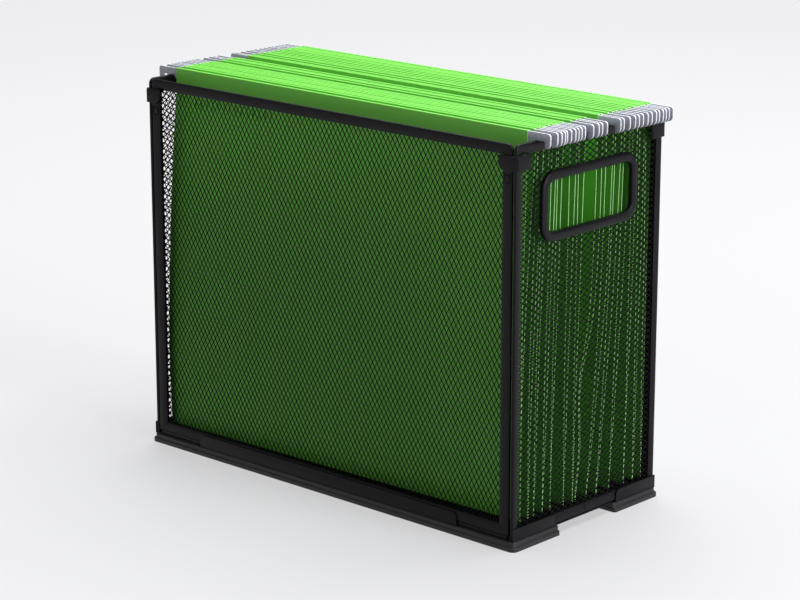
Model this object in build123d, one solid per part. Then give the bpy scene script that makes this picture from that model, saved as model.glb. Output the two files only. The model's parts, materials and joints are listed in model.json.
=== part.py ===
from build123d import *
import os

# A knock-down mesh file rack with hanging folders, in millimetres.
# The origin is on the floor under the middle of the rack. +X runs along the long side, +Y from the
# front panel to the back panel, and +Z up. The folders hang across the rack, with their bars along X.

os.makedirs("parts", exist_ok=True)

# Rack: outer faces of the four wall panels, and their top
RACK_LENGTH = 330.0
RACK_WIDTH = 146.0
RACK_TOP = 261.0

# Wall panel: a strip folded over the edge of a mesh sheet, all the way round
STRIP_THICKNESS = 2.6
STRIP_WALL = 0.9
LONG_POST_WIDTH = 7.7
SHORT_POST_WIDTH = 5.6
RAIL_HEIGHT = 7.0
BEVEL_WIDTH = 3.2
BEVEL_DEPTH = 0.55
TOP_CORNER_RADIUS = 4.0
LONG_INSET = 3.5
SHORT_INSET = 0.3
MESH_IN_STRIP = 1.5
SEAM_WIDTH = 0.35
SEAM_DEPTH = 0.3

# Hand hole in each end panel, with a grooved rim over the edge of the mesh
HOLE_WIDTH = 83.5
HOLE_HEIGHT = 33.0
HOLE_RADIUS = 6.0
HOLE_CENTRE_Z = 217.0
RIM_SIDE = 5.75
RIM_EDGE = 6.0
RIM_PROUD = 0.7
RIM_INNER_LEAF = 1.2
RIM_WEB = 1.25

# Corner clip: an angle outside two panels, with a tongue in the gap between them
CLIP_BOTTOM = 244.6
CLIP_TOP = 254.0
CLIP_LEG = 14.8
CLIP_THICKNESS = 1.8
CLIP_CHAMFER = 2.2
CLIP_CUT = 3.0
TONGUE_CLEARANCE = 0.2
LATCH_WIDTH = 5.4
LATCH_BOTTOM = 236.4
LATCH_TOP = 242.4
LATCH_DEPTH = 0.7

# Base: two foot runners, a floor sheet on them, and lips that hold the panels.
# A runner's tiers stand proud of the panels by one distance at the ends and another along the side.
FOOT_HEIGHT = 6.0
FOOT_STEP = 3.0
FOOT_GAP = 56.0
FOOT_LOWER_PROUD = (3.0, 1.8)
FOOT_UPPER_PROUD = (1.6, 1.0)
FOOT_RADIUS = 4.0
SHEET_THICKNESS = 0.8
LIP_THICKNESS = 0.9
SIDE_LIP_LENGTH = 238.0
SIDE_LIP_TOP = 15.0
CORNER_LIP_TOP = 14.5
CORNER_LIP_START = 31.5
LIP_RADIUS = 4.0
RELIEF_SLOT = 3.0
LEDGE_HEIGHT = 2.5
LEDGE_THICKNESS = 1.4
LEDGE_END_GAP = 5.0

# Hanging folder: a card folded at the bottom, hemmed round a flat bar at each top edge
CARD_WIDTH = 314.0
CARD_THICKNESS = 0.45
CARD_BOTTOM = 13.5
FOLD_HEIGHT = 3.0
HEM_BOTTOM = 251.2
BAR_THICKNESS = 1.15
BAR_IN_HEM = 0.025
BAR_TOP = 266.0
BAR_BOTTOM = 252.2
BAR_LENGTH = 350.0
ARM_BOTTOM = RACK_TOP + 0.05
ARM_START = 160.0
SHOULDER_START = 152.5
HOOK_START = 170.6
HOOK_BOTTOM = 256.3
HOOK_TOP_RADIUS = 2.0
HOOK_TIP_RADIUS = 3.8

# Folders as they hang now: how far the first bar is from the front panel's face, how far apart each
# folder's two bars are, the distance from each folder's back bar to the next folder's front bar,
# how far each folder has slid along X over the end rails, and how far its bottom fold has swung
# forward from under its bars
FIRST_BAR = 20.5
SPREADS = [6.8, 3.1, 3.9, 3.1, 3.3, 5.4, 4.8, 3.3, 5.4, 4.2, 4.2, 3.2, 3.0, 4.0]
SPACES = [3.7, 3.0, 3.4, 3.5, 7.3, 3.0, 13.0, 5.7, 3.6, 4.6, 4.4, 3.8, 3.2]
SHIFTS = [0.0, 0.3, -0.4, 0.2, -0.2, 0.4, 0.8, 1.2, 1.6, 1.8, 2.0, 2.0, 2.2, 2.2]
LEANS = [11.0, 9.8, 9.3, 8.4, 7.4, 6.5, 6.0, 12.5, 11.8, 10.8, 9.0, 7.4, 6.2, 5.5]

SHEET_TOP = FOOT_HEIGHT + SHEET_THICKNESS
HALF_LENGTH = RACK_LENGTH / 2
HALF_WIDTH = RACK_WIDTH / 2

# Each wall's own plane: x along the wall, y up, z out of the rack
WALLS = {
    "front": Plane(origin=(0, -HALF_WIDTH, 0), x_dir=(1, 0, 0), z_dir=(0, -1, 0)),
    "back": Plane(origin=(0, HALF_WIDTH, 0), x_dir=(-1, 0, 0), z_dir=(0, 1, 0)),
    "left": Plane(origin=(-HALF_LENGTH, 0, 0), x_dir=(0, -1, 0), z_dir=(-1, 0, 0)),
    "right": Plane(origin=(HALF_LENGTH, 0, 0), x_dir=(0, 1, 0), z_dir=(1, 0, 0)),
}


def write(name, shapes):
    """Write one node: its solids, kept apart, as one STEP file."""
    solids = [solid for shape in shapes for solid in shape.solids()]
    export_step(Compound(children=solids), f"parts/{name}.step")


def block(low, high):
    """A box from its lowest corner to its highest corner."""
    size = [high[axis] - low[axis] for axis in range(3)]
    return Pos(*low) * Box(*size, align=(Align.MIN, Align.MIN, Align.MIN))


def slab(sketch, low, high):
    """A flat outline given thickness between two heights of its own z."""
    return Pos(0, 0, low) * extrude(sketch, amount=high - low)


def mirrored(shape, flip_x, flip_y):
    """The shape in another corner of the rack."""
    if flip_x:
        shape = mirror(shape, about=Plane.YZ)
    if flip_y:
        shape = mirror(shape, about=Plane.XZ)
    return shape


# ---- wall panels ----

def rectangle_between(left, bottom, right, top):
    """An upright rectangle in a wall's plane."""
    return Pos((left + right) / 2, (bottom + top) / 2) * Rectangle(right - left, top - bottom)


def strip_ring(half, bottom, post):
    """The folded strip round one panel, with its bevelled inner edge and its groove for the mesh."""
    outline = rectangle_between(-half, bottom, half, RACK_TOP)
    outline = fillet(outline.vertices().group_by(Axis.Y)[-1], radius=TOP_CORNER_RADIUS)
    inner = (-half + post, bottom + RAIL_HEIGHT, half - post, RACK_TOP - RAIL_HEIGHT)
    wider = (inner[0] - BEVEL_WIDTH, inner[1] - BEVEL_WIDTH, inner[2] + BEVEL_WIDTH, inner[3] + BEVEL_WIDTH)
    window = rectangle_between(*inner)
    ring = slab(outline, -STRIP_THICKNESS, 0) - slab(window, -STRIP_THICKNESS, 0)
    ring -= loft([Pos(0, 0, -BEVEL_DEPTH) * window, rectangle_between(*wider)])
    groove = rectangle_between(-half + STRIP_WALL, bottom + STRIP_WALL, half - STRIP_WALL, RACK_TOP - STRIP_WALL)
    groove = fillet(groove.vertices().group_by(Axis.Y)[-1], radius=TOP_CORNER_RADIUS - STRIP_WALL)
    return ring - slab(groove, STRIP_WALL - STRIP_THICKNESS, -STRIP_WALL)


def panel_frame(half, bottom, post, latches):
    """Four mitred lengths of folded strip: two posts and two rails."""
    ring = strip_ring(half, bottom, post)
    ring -= block((-SEAM_WIDTH / 2, bottom, -SEAM_DEPTH), (SEAM_WIDTH / 2, bottom + RAIL_HEIGHT, 0))
    if latches:
        for side in (-1, 1):
            middle = side * (half - post / 2)
            ring -= block((middle - LATCH_WIDTH / 2, LATCH_BOTTOM, -LATCH_DEPTH),
                          (middle + LATCH_WIDTH / 2, LATCH_TOP, 0))
    left, right = -half + post, half - post
    low, high = bottom + RAIL_HEIGHT, RACK_TOP - RAIL_HEIGHT
    mitres = [
        [(-half, bottom), (left, low), (left, high), (-half, RACK_TOP)],
        [(half, bottom), (half, RACK_TOP), (right, high), (right, low)],
        [(-half, RACK_TOP), (left, high), (right, high), (half, RACK_TOP)],
        [(-half, bottom), (half, bottom), (right, low), (left, low)],
    ]
    return [ring & slab(make_face(Polyline(*points, close=True)), -STRIP_THICKNESS, 0) for points in mitres]


def mesh_sheet(half, bottom, hand_hole):
    """The sheet of expanded mesh, with its edge inside the folded strip."""
    sheet = rectangle_between(-half + MESH_IN_STRIP, bottom + MESH_IN_STRIP,
                              half - MESH_IN_STRIP, RACK_TOP - MESH_IN_STRIP)
    sheet = fillet(sheet.vertices().group_by(Axis.Y)[-1], radius=TOP_CORNER_RADIUS)
    if hand_hole:
        sheet -= hole_outline(RIM_WEB, RIM_WEB)
    return slab(sheet, STRIP_WALL - STRIP_THICKNESS, -STRIP_WALL)


def hole_outline(side, edge):
    """The hand hole's outline, made larger by side along the wall and by edge up and down."""
    radius = HOLE_RADIUS + min(side, edge)
    return Pos(0, HOLE_CENTRE_Z) * RectangleRounded(HOLE_WIDTH + 2 * side, HOLE_HEIGHT + 2 * edge, radius)


def hand_rim():
    """The rim round a hand hole, with a groove that takes the edge of the mesh."""
    outline = hole_outline(RIM_SIDE, RIM_EDGE)
    inside = -STRIP_THICKNESS + STRIP_WALL - RIM_INNER_LEAF
    rim = slab(outline, inside, RIM_PROUD) - slab(hole_outline(0, 0), inside, RIM_PROUD)
    rim = fillet(rim.faces().sort_by(Axis.Z)[-1].edges(), radius=0.6)
    groove = slab(outline, STRIP_WALL - STRIP_THICKNESS, -STRIP_WALL)
    groove -= slab(hole_outline(RIM_WEB, RIM_WEB), STRIP_WALL - STRIP_THICKNESS, -STRIP_WALL)
    return rim - groove


LONG_HALF = HALF_LENGTH - LONG_INSET
SHORT_HALF = HALF_WIDTH - SHORT_INSET
LONG_BOTTOM = SHEET_TOP + LEDGE_HEIGHT
SHORT_BOTTOM = SHEET_TOP

for wall in ("front", "back"):
    pieces = panel_frame(LONG_HALF, LONG_BOTTOM, LONG_POST_WIDTH, latches=True)
    write(f"{wall}_frame", [WALLS[wall] * piece for piece in pieces])
    write(f"{wall}_mesh", [WALLS[wall] * mesh_sheet(LONG_HALF, LONG_BOTTOM, hand_hole=False)])

for wall in ("left", "right"):
    pieces = panel_frame(SHORT_HALF, SHORT_BOTTOM, SHORT_POST_WIDTH, latches=False)
    write(f"{wall}_frame", [WALLS[wall] * piece for piece in pieces])
    write(f"{wall}_mesh", [WALLS[wall] * mesh_sheet(SHORT_HALF, SHORT_BOTTOM, hand_hole=True)])
    write(f"{wall}_hand_rim", [WALLS[wall] * hand_rim()])


# ---- corner clips ----

def corner_clip():
    """The clip of the corner where +X meets -Y."""
    out_x = HALF_LENGTH + CLIP_THICKNESS
    out_y = -HALF_WIDTH - CLIP_THICKNESS
    long_leg = block((out_x - CLIP_LEG, out_y, CLIP_BOTTOM), (out_x, -HALF_WIDTH, CLIP_TOP))
    short_leg = block((HALF_LENGTH, out_y, CLIP_BOTTOM), (out_x, out_y + CLIP_LEG, CLIP_TOP))
    tongue = block((LONG_HALF + TONGUE_CLEARANCE, -HALF_WIDTH, CLIP_BOTTOM),
                   (HALF_LENGTH - STRIP_THICKNESS - TONGUE_CLEARANCE, -HALF_WIDTH + STRIP_THICKNESS, CLIP_TOP))
    clip = long_leg + short_leg + tongue
    upright = clip.edges().filter_by(Axis.Z)
    clip = chamfer(upright.sort_by_distance((out_x, out_y, CLIP_TOP))[0], length=CLIP_CHAMFER)
    upright = clip.edges().filter_by(Axis.Z)
    clip = chamfer(upright.sort_by_distance((out_x, out_y + CLIP_LEG, CLIP_TOP))[0], length=1.2)
    corner_x = out_x - CLIP_LEG
    cut = make_face(Polyline((corner_x, CLIP_BOTTOM), (corner_x + CLIP_CUT, CLIP_BOTTOM),
                             (corner_x, CLIP_BOTTOM + CLIP_CUT), close=True))
    return clip - WALLS["front"] * slab(cut, 0, CLIP_THICKNESS)


for end, flip_x in (("left", True), ("right", False)):
    for side, flip_y in (("front", False), ("back", True)):
        write(f"corner_clip_{side}_{end}", [mirrored(corner_clip(), flip_x, flip_y)])


# ---- base ----

def foot_runner():
    """The front foot runner: a long flat bar with a stepped outer edge."""
    tiers = []
    for low, high, proud in ((0, FOOT_STEP, FOOT_LOWER_PROUD), (FOOT_STEP, FOOT_HEIGHT, FOOT_UPPER_PROUD)):
        half = HALF_LENGTH + proud[0]
        outline = rectangle_between(-half, -HALF_WIDTH - proud[1], half, -FOOT_GAP / 2)
        outline = fillet(outline.vertices().group_by(Axis.Y)[0], radius=FOOT_RADIUS)
        outline = fillet(outline.vertices().group_by(Axis.Y)[-1], radius=FOOT_RADIUS / 2)
        tier = slab(outline, low, high)
        tiers.append(chamfer(tier.faces().sort_by(Axis.Z)[-1].outer_wire().edges(), length=0.5))
    return tiers[0] + tiers[1]


def base_sheet():
    """The floor sheet, with a tab under each lip and a relief slot beside each tab."""
    outline = Rectangle(RACK_LENGTH, RACK_WIDTH)
    outline += Rectangle(SIDE_LIP_LENGTH, RACK_WIDTH + 2 * LIP_THICKNESS)
    for flip_x in (-1, 1):
        for flip_y in (-1, 1):
            middle_y = flip_y * (HALF_WIDTH + CORNER_LIP_START) / 2
            tab = Pos(flip_x * HALF_LENGTH, middle_y)
            outline += tab * Rectangle(2 * LIP_THICKNESS, HALF_WIDTH - CORNER_LIP_START)
            side_slot = Pos(flip_x * (SIDE_LIP_LENGTH + RELIEF_SLOT) / 2, flip_y * HALF_WIDTH)
            outline -= side_slot * Rectangle(RELIEF_SLOT, 2 * RELIEF_SLOT)
            end_slot = Pos(flip_x * HALF_LENGTH, flip_y * (CORNER_LIP_START - RELIEF_SLOT / 2))
            outline -= end_slot * Rectangle(RELIEF_SLOT, RELIEF_SLOT)
    return slab(outline, FOOT_HEIGHT, SHEET_TOP)


def lip(start, end, top, round_start, round_end):
    """An upright lip against a wall's outer face, from start to end along that wall."""
    outline = rectangle_between(start, SHEET_TOP, end, top)
    upper = outline.vertices().group_by(Axis.Y)[-1].sort_by(Axis.X)
    rounded = [corner for corner, wanted in zip(upper, (round_start, round_end)) if wanted]
    return slab(fillet(rounded, radius=LIP_RADIUS), 0, LIP_THICKNESS)


def ledge():
    """A low ledge that a long panel stands on."""
    half = HALF_LENGTH - LEDGE_END_GAP
    depth = (STRIP_THICKNESS - LEDGE_THICKNESS) / 2
    return slab(rectangle_between(-half, SHEET_TOP, half, LONG_BOTTOM), -depth - LEDGE_THICKNESS, -depth)


lips = []
for wall in ("front", "back"):
    lips.append(WALLS[wall] * lip(-SIDE_LIP_LENGTH / 2, SIDE_LIP_LENGTH / 2, SIDE_LIP_TOP, True, True))
    lips.append(WALLS[wall] * ledge())
for wall in ("left", "right"):
    lips.append(WALLS[wall] * lip(-HALF_WIDTH, -CORNER_LIP_START, CORNER_LIP_TOP, False, True))
    lips.append(WALLS[wall] * lip(CORNER_LIP_START, HALF_WIDTH, CORNER_LIP_TOP, True, False))
write("base_lips", lips)
write("base_sheet", [base_sheet()])
write("foot_runner_front", [foot_runner()])
write("foot_runner_back", [mirrored(foot_runner(), False, True)])


# ---- hanging folders ----

def along_x(points, half):
    """A solid of constant section: points are (y, z), and it runs from -half to half along X."""
    section = Plane.YZ * make_face(Polyline(*points, close=True))
    return Pos(-half, 0, 0) * extrude(section, amount=2 * half)


def leaf(bar_y, fold_y, out):
    """One leaf: the hem round its bar, and the sheet that hangs from the hem to the bottom fold.
    Its outer face is towards -Y where out is -1, and towards +Y where out is 1."""
    bar_side = BAR_THICKNESS / 2 + BAR_IN_HEM
    card_side = bar_side + CARD_THICKNESS
    roof = BAR_TOP + BAR_IN_HEM
    hem = along_x([(bar_y - card_side, HEM_BOTTOM), (bar_y - card_side, roof + CARD_THICKNESS),
                   (bar_y + card_side, roof + CARD_THICKNESS), (bar_y + card_side, HEM_BOTTOM),
                   (bar_y + bar_side, HEM_BOTTOM), (bar_y + bar_side, roof),
                   (bar_y - bar_side, roof), (bar_y - bar_side, HEM_BOTTOM)], CARD_WIDTH / 2)
    sheet = along_x([(bar_y + out * bar_side, HEM_BOTTOM), (bar_y + out * card_side, HEM_BOTTOM),
                     (fold_y + out * CARD_THICKNESS, CARD_BOTTOM + FOLD_HEIGHT),
                     (fold_y + out * CARD_THICKNESS, CARD_BOTTOM), (fold_y, CARD_BOTTOM),
                     (fold_y, CARD_BOTTOM + FOLD_HEIGHT)], CARD_WIDTH / 2)
    return [hem, sheet]


def bar(bar_y):
    """One flat bar, as five lengths in line: the middle, an arm over each end rail, and two hooks."""
    def plate(points):
        face = Plane.XZ * make_face(Polyline(*points, close=True))
        return Pos(0, bar_y + BAR_THICKNESS / 2, 0) * extrude(face, amount=BAR_THICKNESS)

    middle = plate([(-ARM_START, BAR_TOP), (ARM_START, BAR_TOP), (ARM_START, ARM_BOTTOM),
                    (SHOULDER_START, BAR_BOTTOM), (-SHOULDER_START, BAR_BOTTOM), (-ARM_START, ARM_BOTTOM)])
    arm = plate([(ARM_START, ARM_BOTTOM), (HOOK_START, ARM_BOTTOM), (HOOK_START, BAR_TOP), (ARM_START, BAR_TOP)])
    tip = BAR_LENGTH / 2
    hook = plate([(HOOK_START, HOOK_BOTTOM), (tip, HOOK_BOTTOM), (tip, BAR_TOP), (HOOK_START, BAR_TOP)])
    outer = hook.edges().filter_by(Axis.Y).group_by(Axis.X)[-1].sort_by(Axis.Z)
    hook = fillet(outer[-1], radius=HOOK_TOP_RADIUS)
    outer = hook.edges().filter_by(Axis.Y).sort_by_distance((tip, bar_y, HOOK_BOTTOM))
    hook = fillet(outer[0], radius=HOOK_TIP_RADIUS)
    return [middle, arm, hook, mirrored(arm, True, False), mirrored(hook, True, False)]


def hang_folders():
    """Write every folder's leaves and bars, from the front of the rack to the back."""
    front_bar = -HALF_WIDTH + FIRST_BAR
    for index, spread in enumerate(SPREADS):
        back_bar = front_bar + spread
        fold = (front_bar + back_bar) / 2 - LEANS[index]
        name = f"folder_{index + 1:02d}"
        slid = Pos(SHIFTS[index], 0, 0)
        write(f"{name}_front_leaf", [slid * piece for piece in leaf(front_bar, fold, -1)])
        write(f"{name}_back_leaf", [slid * piece for piece in leaf(back_bar, fold, 1)])
        write(f"{name}_bars", [slid * piece for piece in bar(front_bar) + bar(back_bar)])
        if index < len(SPACES):
            front_bar = back_bar + SPACES[index]


hang_folders()
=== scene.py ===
import json
import math
import random

import bmesh
import bpy
from mathutils import Matrix, Vector, noise

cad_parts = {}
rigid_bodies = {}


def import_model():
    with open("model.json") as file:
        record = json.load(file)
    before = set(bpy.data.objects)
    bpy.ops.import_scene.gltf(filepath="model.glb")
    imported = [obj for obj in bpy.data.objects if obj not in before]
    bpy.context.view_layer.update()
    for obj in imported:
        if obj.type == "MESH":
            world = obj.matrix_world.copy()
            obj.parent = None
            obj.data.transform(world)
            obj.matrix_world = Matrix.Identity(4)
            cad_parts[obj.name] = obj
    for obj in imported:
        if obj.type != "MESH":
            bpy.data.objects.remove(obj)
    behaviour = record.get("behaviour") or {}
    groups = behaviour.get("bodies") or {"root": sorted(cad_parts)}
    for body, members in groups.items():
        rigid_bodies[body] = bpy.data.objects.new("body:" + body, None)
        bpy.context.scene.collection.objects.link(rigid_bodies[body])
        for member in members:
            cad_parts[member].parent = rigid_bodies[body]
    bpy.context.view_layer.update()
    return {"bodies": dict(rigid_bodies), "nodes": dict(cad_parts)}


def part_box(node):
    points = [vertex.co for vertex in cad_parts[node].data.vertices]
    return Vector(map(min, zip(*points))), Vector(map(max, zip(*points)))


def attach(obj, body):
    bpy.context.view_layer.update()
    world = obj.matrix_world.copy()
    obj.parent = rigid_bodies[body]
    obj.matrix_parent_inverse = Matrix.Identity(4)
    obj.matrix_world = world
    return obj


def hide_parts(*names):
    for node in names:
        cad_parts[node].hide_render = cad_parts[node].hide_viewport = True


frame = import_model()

# A knock-down mesh file rack with hanging folders. Shapes are worked out in millimetres, in the
# part's frame: +X along the long side, +Y from the front panel to the back one, +Z up from the floor.

MM = 0.001
RACK = "rack"
FOLDERS = sorted(body for body in frame["bodies"] if body != RACK)
WALL_TURNS = {"front": 0, "right": 90, "back": 180, "left": 270}
END_WALLS = ("left", "right")
SAME_PLACE = 0.002 * MM

# Folded strip round a panel: its width on the posts of the long and short walls, and on the rails
LONG_POST = 7.7
SHORT_POST = 5.6
RAIL = 7.0
STRIP_WALL = 0.9
STRIP_DEPTH = 2.6
STRIP_FOLD = 1.1
STRIP_BEVEL = 3.2
STRIP_BEVEL_DROP = 0.55
STRIP_TOP_RADIUS = 4.0
STRIP_INNER_EDGE = 2.2
MITRE_GAP = 0.09
LATCH_SIZE = (5.4, 6.0)
LATCH_MIDDLE_Z = 239.4
LATCH_DEPTH = 0.7
TONGUE_GAP = 0.7
TONGUE_FACE = -0.12

# Expanded mesh: half the distance between openings, and the opening itself, given for diamonds that
# stand upright. That is how they are on the long walls. On the end walls they lie on their sides.
MESH_STEP_X = 2.0
MESH_STEP_Y = 3.2
OPENING_TIP = 1.66
OPENING_SHOULDER = (0.2, 2.55)
END_OPENING_TIP = 1.48
END_OPENING_SHOULDER = (0.2, 2.35)
MESH_SHEET = 0.35
MESH_TILT = 0.08
MESH_MIDDLE = -1.3
MESH_WANDER = 0.1
MESH_WANDER_SCALE = 0.03
MESH_IN_STRIP = 2.0
MESH_FROM_HOLE = 1.0

# Hand hole and its rim
HOLE_HALF = (41.75, 16.5)
HOLE_RADIUS = 6.0
HOLE_CENTRE_Z = 217.0
RIM_WIDTH = (5.75, 6.0)
RIM_WEB = 1.25
RIM_GAP = 0.2

# Folder card and bars
CARD = 0.45
BAR = 1.15
BAR_GAP = 0.025
HEM_DEPTH = 15.3
ROOF_RADIUS = 0.42
LEAF_COLUMNS = 24
LEAF_ROWS = 14
LEAF_TRIM = 0.25
LEAF_BOW = (0.1, 0.6)
SLOT_START = 18.0
SLOT_PITCH = 5.6
SLOT_WIDTH = 2.6
SLOT_COUNT = 14
SLOT_DROP = (18.3, 25.3)
ARM_DROP = 4.95
ARM_START = 160.0
SHOULDER_START = 152.5
HOOK_START = 170.6
HOOK_DROP = 9.7
HOOK_TOP_RADIUS = 2.0
HOOK_TIP_RADIUS = 3.8

# How each folder hangs: how far its bottom fold has turned back at its right end and forward at its
# left end, and how early (+) or late (-) its leaves swing forward, at the left and right ends
FOLD_HEIGHT = 3.0
TWISTS = [4.2, 2.0, 1.5, 1.5, 2.0, 2.0, 2.3, -6.0, -5.5, -5.0, -2.6, 3.0, 4.5, 6.0]
BENDS = [(1.5, 1.2), (0.9, 0.8), (0.6, 0.5), (0.5, 0.3), (0.3, 0.3), (0.4, 0.5), (0.4, 0.6),
         (0.0, -1.0), (-0.2, -0.8), (-0.2, -0.6), (0.0, -0.3), (0.0, -0.2), (0.1, 0.0), (0.2, 0.1)]
BELLY_FOLDER = "folder_08"
BELLY = 0.4
BELLY_PLACE = 0.68
BELLY_REACH = 0.13

# Stage
FLOOR_RADIUS = 12000
FLOOR_LEVEL = -0.05
FLOOR_GLOW_REACH = (0.3, 2.6)
FLOOR_GLOW = (0.47, 0.73)
LIGHT_TARGET = (0, 0, 120)

# Camera: what it looks at, in millimetres, and from where
CAMERA_TARGET = Vector((-17.0, 21.0, 111.9))
CAMERA_DISTANCE = 1840.0
CAMERA_AZIMUTH = 42.6
CAMERA_ELEVATION = 15.25
CAMERA_LENS = 120.4


# ---------------------------------------------------------------- materials

def colour(red, green, blue):
    return (red, green, blue, 1.0)


class Shader:
    """A node material under construction, with its patterns in the piece's own coordinates."""

    def __init__(self, name):
        self.material = bpy.data.materials.new(name)
        self.material.use_nodes = True
        self.tree = self.material.node_tree
        self.surface = self.tree.nodes["Principled BSDF"]
        self.place = self.tree.nodes.new("ShaderNodeTexCoord").outputs["Object"]

    def link(self, source, target):
        self.tree.links.new(source, target)

    def noise(self, size, detail=3.0, rough=0.5, stretch=(1, 1, 1)):
        """Noise whose blobs are about that many millimetres across."""
        mapping = self.tree.nodes.new("ShaderNodeMapping")
        mapping.inputs["Scale"].default_value = [1 / (size * MM * axis) for axis in stretch]
        self.link(self.place, mapping.inputs["Vector"])
        made = self.tree.nodes.new("ShaderNodeTexNoise")
        self.link(mapping.outputs["Vector"], made.inputs["Vector"])
        made.inputs["Scale"].default_value = 1.0
        made.inputs["Detail"].default_value = detail
        made.inputs["Roughness"].default_value = rough
        return made.outputs["Fac"]

    def remap(self, value, from_range, to_range):
        made = self.tree.nodes.new("ShaderNodeMapRange")
        self.link(value, made.inputs["Value"])
        made.inputs["From Min"].default_value = from_range[0]
        made.inputs["From Max"].default_value = from_range[1]
        made.inputs["To Min"].default_value = to_range[0]
        made.inputs["To Max"].default_value = to_range[1]
        return made.outputs["Result"]

    def blend(self, factor, first, second):
        made = self.tree.nodes.new("ShaderNodeMix")
        made.data_type = "RGBA"
        self.link(factor, made.inputs[0])
        for socket, value in ((made.inputs[6], first), (made.inputs[7], second)):
            if isinstance(value, bpy.types.NodeSocket):
                self.link(value, socket)
            else:
                socket.default_value = value
        return made.outputs[2]

    def bump(self, height, depth, under=None):
        """A bump of that depth in millimetres."""
        made = self.tree.nodes.new("ShaderNodeBump")
        made.inputs["Distance"].default_value = depth * MM
        self.link(height, made.inputs["Height"])
        if under is not None:
            self.link(under, made.inputs["Normal"])
        return made.outputs["Normal"]

    def finish(self, tone, rough, normal, **constants):
        self.link(tone, self.surface.inputs["Base Color"])
        self.link(rough, self.surface.inputs["Roughness"])
        self.link(normal, self.surface.inputs["Normal"])
        for key, value in constants.items():
            self.surface.inputs[key.replace("_", " ")].default_value = value
        return self.material


def powder_coat(name, dark, pale, rough, shine):
    """Black powder coat: fine orange peel, cloudy gloss, and small scuffs that have gone grey."""
    shader = Shader(name)
    cloud = shader.noise(45, detail=3)
    scuff = shader.remap(shader.noise(5, detail=6, rough=0.7, stretch=(1, 1, 2.5)), (0.62, 0.75), (0, 0.5))
    peel = shader.noise(0.7, detail=2)
    tone = shader.blend(cloud, dark, pale)
    tone = shader.blend(scuff, tone, colour(0.018, 0.017, 0.02))
    gloss = shader.remap(cloud, (0.3, 0.7), rough)
    normal = shader.bump(peel, 0.03)
    return shader.finish(tone, gloss, normal, Specular_IOR_Level=shine)


def moulded_plastic(name):
    """The feet: satin black plastic with a fine grain."""
    shader = Shader(name)
    cloud = shader.noise(30, detail=3)
    grain = shader.noise(0.5, detail=2)
    tone = shader.blend(cloud, colour(0.004, 0.004, 0.005), colour(0.008, 0.008, 0.0095))
    return shader.finish(tone, shader.remap(cloud, (0.3, 0.7), (0.42, 0.55)), shader.bump(grain, 0.04))


def bar_paint(name, dark, pale, rough):
    """Coated strip steel: pale, with faint rolling lines along the bar and rubbed spots."""
    shader = Shader(name)
    rolled = shader.noise(0.8, detail=4, rough=0.6, stretch=(40, 1, 1))
    rubbed = shader.remap(shader.noise(3.5, detail=5, rough=0.65), (0.5, 0.72), (0, 0.6))
    tone = shader.blend(rolled, dark, pale)
    tone = shader.blend(rubbed, tone, colour(0.30, 0.32, 0.37))
    gloss = shader.remap(rolled, (0.3, 0.7), rough)
    return shader.finish(tone, gloss, shader.bump(rolled, 0.02), Metallic=0.0, Specular_IOR_Level=0.6)


def green_card(name, dark, pale, fleck):
    """Coloured card: long soft fibres, mottling from sheet to sheet, and a dull calendered face."""
    shader = Shader(name)
    mottle = shader.noise(28, detail=4, rough=0.6, stretch=(2, 0.2, 1))
    fibre = shader.noise(0.6, detail=4, rough=0.6, stretch=(50, 1, 3))
    flecks = shader.remap(shader.noise(0.9, detail=3, rough=0.6, stretch=(3, 1, 1)), (0.6, 0.72), (0, 0.35))
    tone = shader.blend(mottle, dark, pale)
    tone = shader.blend(flecks, tone, fleck)
    gloss = shader.remap(fibre, (0.3, 0.7), (0.38, 0.5))
    broad = shader.bump(mottle, 0.2)
    return shader.finish(tone, gloss, shader.bump(fibre, 0.02, broad), Specular_IOR_Level=0.5)


STEEL = powder_coat("black_powder_coat", colour(0.002, 0.0018, 0.0026), colour(0.0045, 0.004, 0.006),
                    (0.36, 0.5), 0.16)
MESH_STEEL = powder_coat("black_coated_mesh", colour(0.0015, 0.0015, 0.0015), colour(0.003, 0.003, 0.003),
                         (0.5, 0.62), 0.06)
PLASTIC = moulded_plastic("black_foot_plastic")
BAR_FACE = bar_paint("bar_face", colour(0.44, 0.465, 0.53), colour(0.56, 0.585, 0.65), (0.35, 0.5))
# A lighter copy of the bar paint for the bars' rims and tops: a painted highlight where light catches them.
BAR_PAINTED_HIGHLIGHT = bar_paint("bar_painted_highlight", colour(0.66, 0.68, 0.74), colour(0.82, 0.84, 0.88), (0.3, 0.42))
CARD_FACE = green_card("green_card", colour(0.15, 0.58, 0.055), colour(0.20, 0.68, 0.08),
                       colour(0.28, 0.74, 0.14))
CARD_EDGE = green_card("green_card_edge", colour(0.30, 0.66, 0.20), colour(0.52, 0.80, 0.42),
                       colour(0.7, 0.85, 0.6))


# ---------------------------------------------------------------- making pieces

def box(node):
    """A CAD node's lowest and highest corners, in millimetres."""
    low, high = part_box(node)
    return low / MM, high / MM


def mesh_object(name, points, faces, place=Matrix.Identity(4)):
    """An object from points in millimetres."""
    mesh = bpy.data.meshes.new(name)
    mesh.from_pydata([(place @ Vector(point)) * MM for point in points], [], faces)
    piece = bpy.data.objects.new(name, mesh)
    bpy.context.scene.collection.objects.link(piece)
    return piece


def edit(piece, change):
    """Runs a bmesh change on a piece's mesh."""
    work = bmesh.new()
    work.from_mesh(piece.data)
    change(work)
    work.to_mesh(piece.data)
    work.free()


def tidy(work):
    """Joins points that coincide, drops faces with no area and turns the rest outward."""
    bmesh.ops.remove_doubles(work, verts=work.verts, dist=SAME_PLACE)
    bmesh.ops.dissolve_degenerate(work, edges=work.edges, dist=SAME_PLACE / 2)
    bmesh.ops.recalc_face_normals(work, faces=work.faces)


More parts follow.
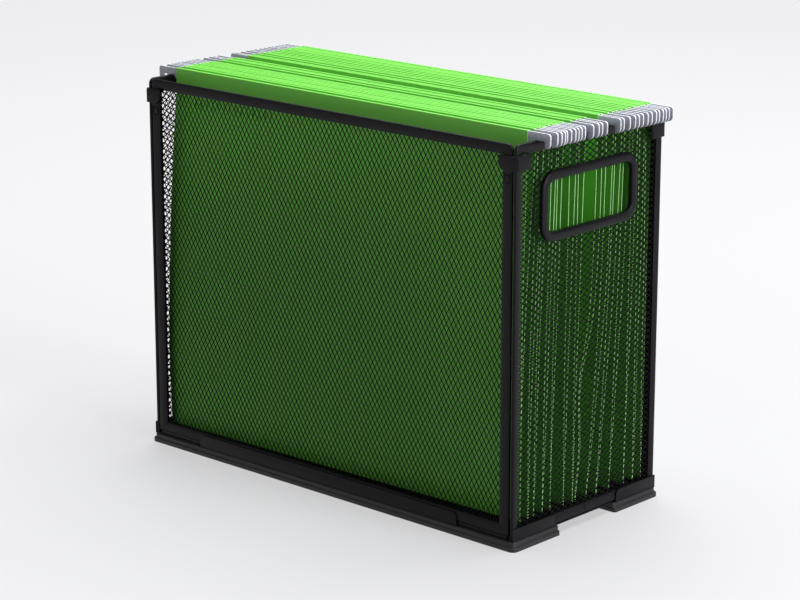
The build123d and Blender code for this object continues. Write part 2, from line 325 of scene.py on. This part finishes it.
def freeze(piece):
    """Applies a piece's modifiers to its mesh."""
    evaluated = piece.evaluated_get(bpy.context.evaluated_depsgraph_get())
    mesh = bpy.data.meshes.new_from_object(evaluated)
    piece.modifiers.clear()
    piece.data = mesh


def paint(piece, *materials):
    for material in materials:
        piece.data.materials.append(material)


def fit_out(piece, body, node, smooth=35):
    """Gives a finished piece its shading, and puts it on its body in its node's place."""
    piece.data.shade_smooth()
    piece.data.set_sharp_from_angle(angle=math.radians(smooth))
    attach(piece, body)
    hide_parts(node)


def arc(centre, radius, start, end, steps):
    """Points on an arc, with its angles in degrees."""
    angles = [math.radians(start + (end - start) * step / steps) for step in range(steps + 1)]
    return [(centre[0] + radius * math.cos(a), centre[1] + radius * math.sin(a)) for a in angles]


class Wall:
    """One wall's own frame: x along the wall, y up and z out of the rack."""

    def __init__(self, name):
        turn = Matrix.Rotation(math.radians(WALL_TURNS[name]), 4, "Z")
        low, high = (turn.inverted() @ corner for corner in box(f"{name}_frame"))
        self.name = name
        self.is_end = name in END_WALLS
        self.half = abs(high.x - low.x) / 2
        self.post = SHORT_POST if self.is_end else LONG_POST
        self.bottom = low.z
        self.top = high.z
        upright = Matrix(((1, 0, 0, 0), (0, 0, -1, 0), (0, 1, 0, 0), (0, 0, 0, 1)))
        self.place = turn @ Matrix.Translation((0, min(low.y, high.y), 0)) @ upright


# ---------------------------------------------------------------- folded strip frames

def strip_section(width):
    """The folded strip's outline: how far in from the panel's edge, and how far out of its face."""
    back = -STRIP_DEPTH
    section = arc((STRIP_FOLD, back + STRIP_FOLD), STRIP_FOLD, 270, 180, 4)
    section += arc((STRIP_FOLD, -STRIP_FOLD), STRIP_FOLD, 180, 90, 4)
    section += [(width - STRIP_BEVEL, 0), (width - 0.25, -STRIP_BEVEL_DROP + 0.05)]
    section += [(width, -STRIP_BEVEL_DROP - 0.15), (width, -STRIP_WALL), (STRIP_INNER_EDGE, -STRIP_WALL)]
    section += [(STRIP_INNER_EDGE, back + STRIP_WALL), (width, back + STRIP_WALL)]
    section += [(width, back + 0.2), (width - 0.2, back)]
    return section


def corner(wall, side, level, inset, start, end, steps=6):
    """Points round one corner of the panel, at a distance in from its edge, on an arc between two angles.
    The strip is not as wide on the rails as on the posts, so distances in from those are scaled."""
    centre_y = (wall.top + wall.bottom) / 2
    inset_y = inset * RAIL / wall.post
    radius = max(STRIP_TOP_RADIUS - inset, 0) if level > 0 else 0
    x = side * (wall.half - inset - radius)
    y = centre_y + level * ((wall.top - wall.bottom) / 2 - inset_y - radius)
    return arc((x, y), radius, start, end, steps)


def strip_paths(wall, inset):
    """The strip's lengths at one distance in from the edge: two halves of the bottom rail, the right post,
    the top rail and the left post, each from mitre to mitre."""
    bottom_right = corner(wall, 1, -1, inset, 270, 315), corner(wall, 1, -1, inset, 315, 360)
    top_right = corner(wall, 1, 1, inset, 0, 45), corner(wall, 1, 1, inset, 45, 90)
    top_left = corner(wall, -1, 1, inset, 90, 135), corner(wall, -1, 1, inset, 135, 180)
    bottom_left = corner(wall, -1, -1, inset, 180, 225), corner(wall, -1, -1, inset, 225, 270)
    level = bottom_left[1][-1][1]
    return [
        bottom_left[1] + [(-MITRE_GAP, level)],
        [(MITRE_GAP, level)] + bottom_right[0],
        bottom_right[1] + top_right[0],
        top_right[1] + top_left[0],
        top_left[1] + bottom_left[0],
    ]


def pull_back(path, gap):
    """Keeps a path's points clear of its two ends by a gap, which leaves the fine line of a mitre."""
    first, last = Vector(path[0]), Vector(path[-1])
    along = (last - first).normalized()
    length = (last - first).length
    moved = []
    for point in path:
        reach = (Vector(point) - first).dot(along)
        wanted = min(max(reach, gap), length - gap)
        moved.append(tuple(Vector(point) + along * (wanted - reach)))
    return moved


def sweep(tracks, closed):
    """Points and faces of a solid: each track is one section point's path, in (x, y, z)."""
    count = len(tracks[0])
    points = [point for track in tracks for point in track]
    faces = []
    for row in range(len(tracks)):
        after = (row + 1) % len(tracks)
        for step in range(count if closed else count - 1):
            ahead = (step + 1) % count
            near, far = row * count, after * count
            faces.append((near + step, near + ahead, far + ahead, far + step))
    if not closed:
        faces.append([row * count for row in range(len(tracks))])
        faces.append([row * count + count - 1 for row in reversed(range(len(tracks)))])
    return points, faces


def join(groups):
    """Several groups of points and faces as one."""
    points, faces = [], []
    for more_points, more_faces in groups:
        faces += [[len(points) + index for index in face] for face in more_faces]
        points += more_points
    return points, faces


def brick(low, high):
    """Points and faces of a box."""
    points = [(x, y, z) for x in (low[0], high[0]) for y in (low[1], high[1]) for z in (low[2], high[2])]
    faces = [(0, 1, 3, 2), (4, 6, 7, 5), (0, 4, 5, 1), (2, 3, 7, 6), (0, 2, 6, 4), (1, 5, 7, 3)]
    return points, faces


def latch_brick(wall, side, margin, deep, shallow):
    """A box at the latch pocket of one post, smaller than the pocket by a margin all round."""
    x, y = side * (wall.half - wall.post / 2), LATCH_MIDDLE_Z
    half_x, half_y = LATCH_SIZE[0] / 2 - margin, LATCH_SIZE[1] / 2 - margin
    return brick((x - half_x, y - half_y, deep), (x + half_x, y + half_y, shallow))


def make_frame(wall):
    """The folded strip round one panel. On the long walls each post has a pocket with a spring tongue."""
    groups = []
    for index in range(5):
        tracks = []
        for inset, height in strip_section(wall.post):
            path = pull_back(strip_paths(wall, inset)[index], MITRE_GAP)
            tracks.append([(x, y, height) for x, y in path])
        groups.append(sweep(tracks, closed=False))
    piece = mesh_object(f"{wall.name}_strip_frame", *join(groups), wall.place)
    edit(piece, tidy)
    if not wall.is_end:
        pockets = join([latch_brick(wall, side, 0, -LATCH_DEPTH, 1) for side in (-1, 1)])
        cutter = mesh_object("cutter", *pockets, wall.place)
        edit(cutter, tidy)
        cut = piece.modifiers.new("pockets", "BOOLEAN")
        cut.object = cutter
        cut.operation = "DIFFERENCE"
        cut.solver = "EXACT"
        freeze(piece)
        bpy.data.objects.remove(cutter)
        tongues = [latch_brick(wall, side, TONGUE_GAP, -LATCH_DEPTH - 0.05, TONGUE_FACE) for side in (-1, 1)]
        tongue = mesh_object("tongue", *join(tongues), wall.place)
        edit(tongue, tidy)
        round_edges(tongue, 0.2)
        merge(piece, tongue)
    paint(piece, STEEL)
    fit_out(piece, RACK, f"{wall.name}_frame")


def round_edges(piece, width, segments=2, sharper_than=25):
    """Bevels a piece's sharp edges, by a width in millimetres."""
    def change(work):
        edges = [edge for edge in work.edges
                 if len(edge.link_faces) == 2 and edge.calc_face_angle(0) > math.radians(sharper_than)]
        bmesh.ops.bevel(work, geom=edges, offset=width * MM, segments=segments, profile=0.6,
                        affect="EDGES", clamp_overlap=True)
        bmesh.ops.recalc_face_normals(work, faces=work.faces)
    edit(piece, change)


def merge(piece, other):
    """Adds the other object's mesh to the piece, and removes the other object."""
    work = bmesh.new()
    work.from_mesh(piece.data)
    work.from_mesh(other.data)
    work.to_mesh(piece.data)
    work.free()
    bpy.data.objects.remove(other)


# ---------------------------------------------------------------- hand hole rims

def rounded_outline(half, radius, steps=8):
    """A rounded rectangle round the middle of the hand hole."""
    x, y = half[0] - radius, half[1] - radius
    points = arc((x, HOLE_CENTRE_Z + y), radius, 0, 90, steps)
    points += arc((-x, HOLE_CENTRE_Z + y), radius, 90, 180, steps)
    points += arc((-x, HOLE_CENTRE_Z - y), radius, 180, 270, steps)
    points += arc((x, HOLE_CENTRE_Z - y), radius, 270, 360, steps)
    return points


def make_rim(wall):
    """The rim: a crowned outer band and a flat inner leaf, with the mesh's edge in the groove between."""
    inner = -STRIP_DEPTH - 0.3
    section = [(0, -2.3), (0, -0.45), (0.04, 0.05), (0.12, 0.42), (0.24, 0.62), (0.4, 0.7), (0.66, 0.66)]
    section += [(0.82, 0.48), (0.93, 0.15), (1, -0.35), (1, -STRIP_WALL), (0.3, -STRIP_WALL), (0.3, -1.7)]
    section += [(1, -1.7), (1, inner + 0.3), (0.94, inner), (0.1, inner), (0.03, inner + 0.25)]
    tracks = []
    for share, height in section:
        half = [HOLE_HALF[axis] + RIM_WIDTH[axis] * share for axis in (0, 1)]
        outline = rounded_outline(half, HOLE_RADIUS + min(RIM_WIDTH) * share)
        tracks.append([(x, y, height) for x, y in outline])
    piece = mesh_object(f"{wall.name}_hand_hole_rim", *sweep(tracks, closed=True), wall.place)
    edit(piece, tidy)
    paint(piece, STEEL)
    fit_out(piece, RACK, f"{wall.name}_hand_rim")


# ---------------------------------------------------------------- expanded mesh

def outside_hole(x, y):
    """How far a point is outside the hand hole's outline, and the way straight out of it."""
    core = Vector((HOLE_HALF[0] - HOLE_RADIUS, HOLE_HALF[1] - HOLE_RADIUS))
    place = Vector((x, y - HOLE_CENTRE_Z))
    beyond = Vector((abs(place.x) - core.x, abs(place.y) - core.y))
    if beyond.x > 0 and beyond.y > 0:
        out = beyond.normalized()
        distance = beyond.length - HOLE_RADIUS
    elif beyond.x > beyond.y:
        out = Vector((1, 0))
        distance = beyond.x - HOLE_RADIUS
    else:
        out = Vector((0, 1))
        distance = beyond.y - HOLE_RADIUS
    return distance, Vector((math.copysign(out.x, place.x), math.copysign(out.y, place.y)))


def make_mesh(wall):
    """A sheet of expanded steel: slit, and pulled open so that each strand leans a little."""
    points, faces, nodes = [], [], {}

    def point(x, y, lean):
        """One point on the sheet's outer face and one on its inner face."""
        if wall.is_end:
            x, y = y - middle_y, x + middle_y
        place = Vector((x * MESH_WANDER_SCALE, y * MESH_WANDER_SCALE, wall.half))
        x += MESH_WANDER * noise.noise(place)
        y += MESH_WANDER * noise.noise(place * -1)
        if wall.is_end:
            distance, out = outside_hole(x, y)
            short = max(RIM_WEB + RIM_GAP - distance, 0)
            x, y = x + out.x * short, y + out.y * short
        height = MESH_MIDDLE + MESH_TILT * lean
        points.append((x, y, height + MESH_SHEET / 2))
        points.append((x, y, height - MESH_SHEET / 2))
        return len(points) - 2

    def node(column, row):
        if (column, row) not in nodes:
            nodes[column, row] = point(column * MESH_STEP_X, middle_y + row * MESH_STEP_Y, 0)
        return nodes[column, row]

    def both_faces(*ring):
        faces.append(ring)
        faces.append([index + 1 for index in reversed(ring)])

    def edge_face(first, second):
        faces.append((first, first + 1, second + 1, second))

    middle_y = (wall.bottom + wall.top) / 2
    reach_x = wall.half - wall.post + MESH_IN_STRIP
    reach_y = (wall.top - wall.bottom) / 2 - RAIL + MESH_IN_STRIP
    tip, (shoulder_x, shoulder_y) = OPENING_TIP, OPENING_SHOULDER
    if wall.is_end:
        reach_x, reach_y = reach_y, reach_x
        tip, (shoulder_x, shoulder_y) = END_OPENING_TIP, END_OPENING_SHOULDER
    columns, rows = int(reach_x / MESH_STEP_X), int(reach_y / MESH_STEP_Y)
    openings = set()
    for column in range(-columns, columns + 1):
        for row in range(-rows, rows + 1):
            if (column + row) % 2 == 0:
                x, y = row * MESH_STEP_Y, middle_y + column * MESH_STEP_X
                if not wall.is_end or outside_hole(x, y)[0] > MESH_FROM_HOLE:
                    openings.add((column, row))
    for column, row in sorted(openings):
        x, y = column * MESH_STEP_X, middle_y + row * MESH_STEP_Y
        left, right = node(column - 1, row), node(column + 1, row)
        top, bottom = node(column, row + 1), node(column, row - 1)
        tip_left, tip_right = point(x - tip, y, 0), point(x + tip, y, 0)
        top_left = point(x - shoulder_x, y + shoulder_y, 1)
        top_right = point(x + shoulder_x, y + shoulder_y, 1)
        low_left = point(x - shoulder_x, y - shoulder_y, -1)
        low_right = point(x + shoulder_x, y - shoulder_y, -1)
        both_faces(left, tip_left, top_left, top)
        both_faces(top, top_left, top_right)
        both_faces(top, top_right, tip_right, right)
        both_faces(right, tip_right, low_right, bottom)
        both_faces(bottom, low_right, low_left)
        both_faces(bottom, low_left, tip_left, left)
        opening = [tip_left, top_left, top_right, tip_right, low_right, low_left]
        for first, second in zip(opening, opening[1:] + opening[:1]):
            edge_face(first, second)
        for step, start, end in (((-1, 1), top, left), ((1, 1), right, top), ((1, -1), bottom, right),
                                 ((-1, -1), left, bottom)):
            if (column + step[0], row + step[1]) not in openings:
                edge_face(start, end)
    piece = mesh_object(f"{wall.name}_expanded_mesh", points, faces, wall.place)
    edit(piece, lambda work: bmesh.ops.recalc_face_normals(work, faces=work.faces))
    paint(piece, MESH_STEEL)
    fit_out(piece, RACK, f"{wall.name}_mesh", smooth=50)


# ---------------------------------------------------------------- clips, base and feet

def soften(node, name, width, material):
    """A copy of a CAD node with its edges rounded, for pieces whose CAD shape is already right."""
    piece = bpy.data.objects.new(name, frame["nodes"][node].data.copy())
    piece.data.materials.clear()
    bpy.context.scene.collection.objects.link(piece)

    def clean(work):
        bmesh.ops.remove_doubles(work, verts=work.verts, dist=SAME_PLACE)
        bmesh.ops.dissolve_limit(work, angle_limit=math.radians(1), verts=work.verts, edges=work.edges)
    edit(piece, clean)
    round_edges(piece, width)
    paint(piece, material)
    fit_out(piece, RACK, node)


# ---------------------------------------------------------------- hanging folders

def hem_section(high):
    """The hem's middle surface as (y from the bar, z), from the card's free edge over the bar and down."""
    side = BAR / 2 + BAR_GAP + CARD / 2
    roof = high - CARD / 2
    flat = side - ROOF_RADIUS
    section = [(-side, high - HEM_DEPTH + 0.4), (-side, high - HEM_DEPTH + 7)]
    section += [(y - flat, z) for y, z in arc((0, roof - ROOF_RADIUS), ROOF_RADIUS, 180, 90, 3)]
    section += [(y + flat, z) for y, z in arc((0, roof - ROOF_RADIUS), ROOF_RADIUS, 90, 0, 3)]
    return section + [(side, high - HEM_DEPTH + 7), (side, high - HEM_DEPTH)]


def hang(folder, share, across):
    """How much of its swing a leaf has made, at a share of the way down and at a place across it."""
    left, right = BENDS[FOLDERS.index(folder)]
    bend = left + (right - left) * (across + 1) / 2
    belly = 0.0
    if folder == BELLY_FOLDER:
        belly = BELLY * max(across, 0) * math.exp(-((share - BELLY_PLACE) / BELLY_REACH) ** 2)
    return share + bend * share * (1 - share) + belly


def make_leaf(folder, name, bar_y, fold_y, out, slots):
    """One leaf of a folder: card folded over its bar and hanging to the bottom fold."""
    node = f"{folder}_{name}_leaf"
    low, high = box(node)
    chance = random.Random(node)
    trim = [chance.uniform(-LEAF_TRIM, LEAF_TRIM) for end in range(2)]
    bow, seed = chance.uniform(*LEAF_BOW), chance.uniform(0, 50)
    left, right = low.x + trim[0], high.x + trim[1]
    columns = [left + (right - left) * step / LEAF_COLUMNS for step in range(LEAF_COLUMNS + 1)]
    edges = []
    if slots:
        for index in range(SLOT_COUNT):
            start = left + SLOT_START + SLOT_PITCH * index
            edges += [start, start + SLOT_WIDTH]
        columns = sorted(edges + [x for x in columns if x < edges[0] - 1 or x > edges[-1] + 1])
    hem, foot = high.z - HEM_DEPTH, low.z + FOLD_HEIGHT
    levels = [high.z - drop for drop in SLOT_DROP]
    levels += [levels[-1] + (foot - levels[-1]) * step / LEAF_ROWS for step in range(1, LEAF_ROWS + 1)]
    section = hem_section(high.z)
    top_y = bar_y + out * section[-1][0]
    points = []
    for x in columns:
        across = 2 * (x - left) / (right - left) - 1
        turn = TWISTS[FOLDERS.index(folder)] * across
        points += [(x, bar_y + out * y, z) for y, z in section]
        for z in levels:
            share = (hem - z) / (hem - foot)
            free = min(1.0, share * 2) * min(1.0, (1 - share) * 5)
            ripple = noise.noise(Vector((x * 0.012, z * 0.009, seed))) * free
            ripple += out * bow * math.sin(math.pi * share)
            swing = (fold_y + turn + out * CARD / 2 - top_y) * hang(folder, share, across)
            points.append((x, top_y + swing + ripple, z))
        points.append((x, fold_y + turn + out * 0.17, low.z + 1))
        points.append((x, fold_y + turn + out * 0.02, low.z + CARD / 2))
    faces = []
    count = len(points) // len(columns)
    for step in range(len(columns) - 1):
        for row in range(count - 1):
            if row == len(section) and columns[step] in edges[::2]:
                continue
            start = step * count + row
            faces.append((start, start + 1, start + count + 1, start + count))
    piece = mesh_object(f"{folder}_{name}_card", points, faces)
    paint(piece, CARD_FACE, CARD_EDGE)
    thick = piece.modifiers.new("thickness", "SOLIDIFY")
    thick.thickness = CARD * MM
    thick.offset = 0
    thick.use_even_offset = True
    thick.material_offset_rim = 1
    freeze(piece)
    fit_out(piece, folder, node, smooth=40)


def bar_outline(half, bottom, top):
    """A bar seen from the front: its deep middle, an arm over each end rail, and a hook at each end."""
    arm, tip = top - ARM_DROP, top - HOOK_DROP
    right = arc((half - HOOK_TOP_RADIUS, top - HOOK_TOP_RADIUS), HOOK_TOP_RADIUS, 90, 0, 5)
    right += arc((half - HOOK_TIP_RADIUS, tip + HOOK_TIP_RADIUS), HOOK_TIP_RADIUS, 0, -90, 8)
    right += arc((HOOK_START + 0.35, tip + 0.35), 0.35, -90, -180, 3)
    right += arc((HOOK_START - 0.7, arm - 0.7), 0.7, 0, 90, 4)
    right += arc((ARM_START + 0.6, arm - 0.9), 0.9, 90, 130, 3)
    right += arc((SHOULDER_START - 0.6, bottom + 0.9), 0.9, -40, -90, 3)
    return right + [(-x, z) for x, z in reversed(right)]


def make_bars(folder, bars_y):
    """A folder's two bars, punched from pale coated strip; their rims carry a lighter copy of the paint, a
    painted highlight.
    """
    node = f"{folder}_bars"
    low, high = box(node)
    outline = bar_outline((high.x - low.x) / 2, low.z, high.z)
    middle = (high.x + low.x) / 2
    count = len(outline)
    groups = []
    for bar_y in bars_y:
        points = [(middle + x, bar_y + side * BAR / 2, z) for side in (-1, 1) for x, z in outline]
        faces = [list(range(count)), list(range(2 * count - 1, count - 1, -1))]
        for index in range(count):
            after = (index + 1) % count
            faces.append((index, count + index, count + after, after))
        groups.append((points, faces))
    piece = mesh_object(f"{folder}_hooked_bars", *join(groups))
    edit(piece, tidy)
    round_edges(piece, 0.2, segments=2, sharper_than=50)
    paint(piece, BAR_FACE, BAR_PAINTED_HIGHLIGHT)
    # Faces that face along y keep the plain paint; the rims get the lighter copy, a painted highlight.
    for face in piece.data.polygons:
        face.material_index = 0 if abs(face.normal.y) > 0.95 else 1
    fit_out(piece, folder, node, smooth=30)


def make_folder(folder):
    low, high = box(f"{folder}_bars")
    bars_y = (low.y + BAR / 2, high.y - BAR / 2)
    fold_y = box(f"{folder}_front_leaf")[0].y + CARD
    make_bars(folder, bars_y)
    make_leaf(folder, "front", bars_y[0], fold_y, -1, slots=True)
    make_leaf(folder, "back", bars_y[1], fold_y, 1, slots=False)


# ---------------------------------------------------------------- the stage

def make_floor():
    """A pale floor that runs far past the view on every side, and glows more where the light fades."""
    points = [(x, y, FLOOR_LEVEL) for x, y in arc((0, 0), FLOOR_RADIUS, 0, 354, 59)]
    floor = mesh_object("floor", points, [list(range(len(points)))])
    shader = Shader("pale_floor")
    shader.surface.inputs["Base Color"].default_value = colour(0.25, 0.25, 0.255)
    shader.surface.inputs["Roughness"].default_value = 0.7
    shader.surface.inputs["Specular IOR Level"].default_value = 0.2
    shader.surface.inputs["Emission Color"].default_value = colour(0.985, 0.985, 1.0)
    length = shader.tree.nodes.new("ShaderNodeVectorMath")
    length.operation = "LENGTH"
    shader.link(shader.place, length.inputs[0])
    glow = shader.remap(length.outputs["Value"], FLOOR_GLOW_REACH, FLOOR_GLOW)
    shader.link(glow, shader.surface.inputs["Emission Strength"])
    floor.data.materials.append(shader.material)
    floor.visible_diffuse = False


def make_light(name, place, side, power, target=LIGHT_TARGET):
    """A soft square light, placed and aimed in millimetres."""
    light = bpy.data.lights.new(name, "AREA")
    light.shape = "RECTANGLE"
    light.size = light.size_y = side * MM
    light.energy = power
    holder = bpy.data.objects.new(name, light)
    bpy.context.scene.collection.objects.link(holder)
    holder.location = Vector(place) * MM
    holder.rotation_mode = "QUATERNION"
    holder.rotation_quaternion = (Vector(target) - Vector(place)).to_track_quat("-Z", "Y")


def make_world():
    world = bpy.data.worlds.new("studio")
    world.use_nodes = True
    background = world.node_tree.nodes["Background"]
    background.inputs["Color"].default_value = colour(0.95, 0.96, 1.0)
    background.inputs["Strength"].default_value = 0.15
    bpy.context.scene.world = world


def make_camera():
    azimuth, elevation = math.radians(CAMERA_AZIMUTH), math.radians(CAMERA_ELEVATION)
    back = Vector((math.sin(azimuth) * math.cos(elevation), -math.cos(azimuth) * math.cos(elevation),
                   math.sin(elevation)))
    camera = bpy.data.objects.new("camera", bpy.data.cameras.new("camera"))
    bpy.context.scene.collection.objects.link(camera)
    camera.data.lens = CAMERA_LENS
    camera.data.clip_end = 100
    camera.location = (CAMERA_TARGET + back * CAMERA_DISTANCE) * MM
    camera.rotation_mode = "QUATERNION"
    camera.rotation_quaternion = (-back).to_track_quat("-Z", "Y")
    bpy.context.scene.camera = camera


def make_stage():
    make_floor()
    make_world()
    make_light("overhead_key", (-150, 500, 1900), 1900, 70, target=(0, 0, 150))
    make_light("right_fill", (2300, 100, 900), 1100, 55)
    make_light("front_fill", (-700, -2300, 900), 1100, 6)
    make_camera()
    bpy.context.scene.view_settings.view_transform = "Standard"


for wall_name in WALL_TURNS:
    panel = Wall(wall_name)
    make_frame(panel)
    make_mesh(panel)
    if panel.is_end:
        make_rim(panel)

for side_name in ("front", "back"):
    for end_name in ("left", "right"):
        corner_name = f"{side_name}_{end_name}"
        soften(f"corner_clip_{corner_name}", f"clip_{corner_name}", 0.25, STEEL)
    soften(f"foot_runner_{side_name}", f"{side_name}_foot", 0.3, PLASTIC)
soften("base_sheet", "floor_sheet", 0.12, STEEL)
soften("base_lips", "floor_sheet_lips", 0.2, STEEL)

for folder_name in FOLDERS:
    make_folder(folder_name)

make_stage()
